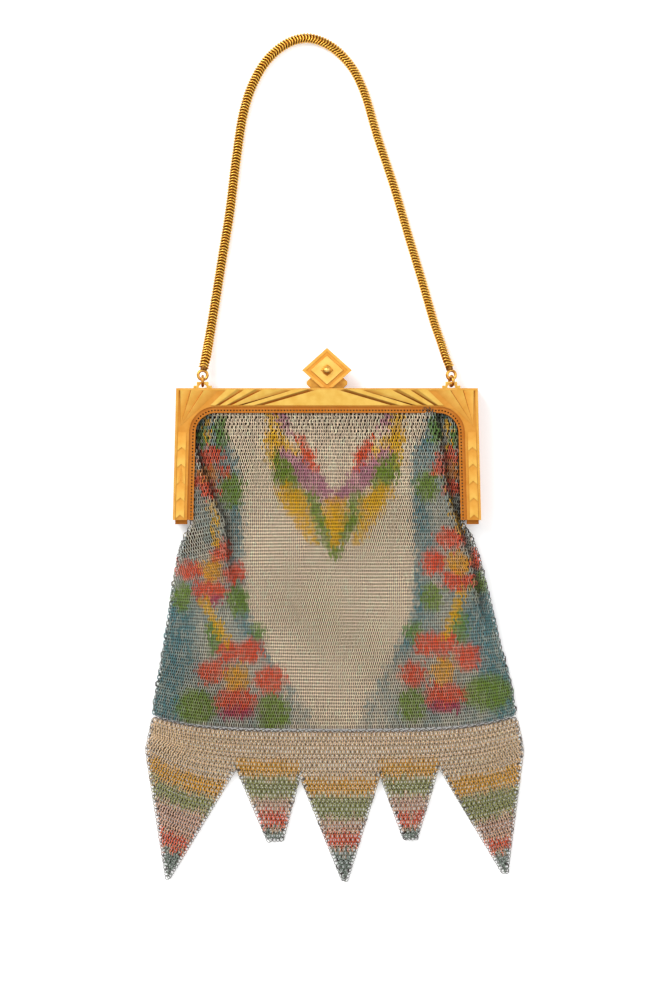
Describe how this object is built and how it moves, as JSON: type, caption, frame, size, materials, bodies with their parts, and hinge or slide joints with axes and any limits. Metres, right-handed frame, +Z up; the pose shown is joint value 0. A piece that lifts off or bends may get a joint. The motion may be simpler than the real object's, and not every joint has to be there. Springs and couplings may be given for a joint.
{
  "type": "metal mesh purse",
  "caption": "Small evening purse of painted ring mesh with a pointed skirt, on a gilt hinged frame with a diamond clasp and a snake chain.",
  "frame": {"origin": "middle of the top bar on the back face of the frame, which lies on the surface", "axes": "+X to the right across the purse, +Y from the skirt towards the chain, +Z up out of the surface it lies on, towards the viewer"},
  "size_m": [0.1318, 0.2962, 0.0118],
  "materials": {
    "gilt": "polished gilt, darker in the recesses",
    "dark_gilt": "worn gilt",
    "chain": "polished gilt",
    "mesh": "satin paint on fine rings, in a soft flower pattern"
  },
  "bodies": {
    "root": {"front_frame": "gilt", "back_frame": "gilt", "hinge_pin_left": "dark_gilt", "hinge_pin_right": "dark_gilt", "clasp_front": "gilt", "clasp_back": "dark_gilt", "lug_left": "gilt", "lug_right": "gilt", "link_left": "gilt", "link_right": "gilt", "chain_end_left": "dark_gilt", "chain_end_right": "dark_gilt", "chain": "chain", "mesh_pouch": "mesh", "mesh_skirt": "mesh"}
  },
  "joints": []
}
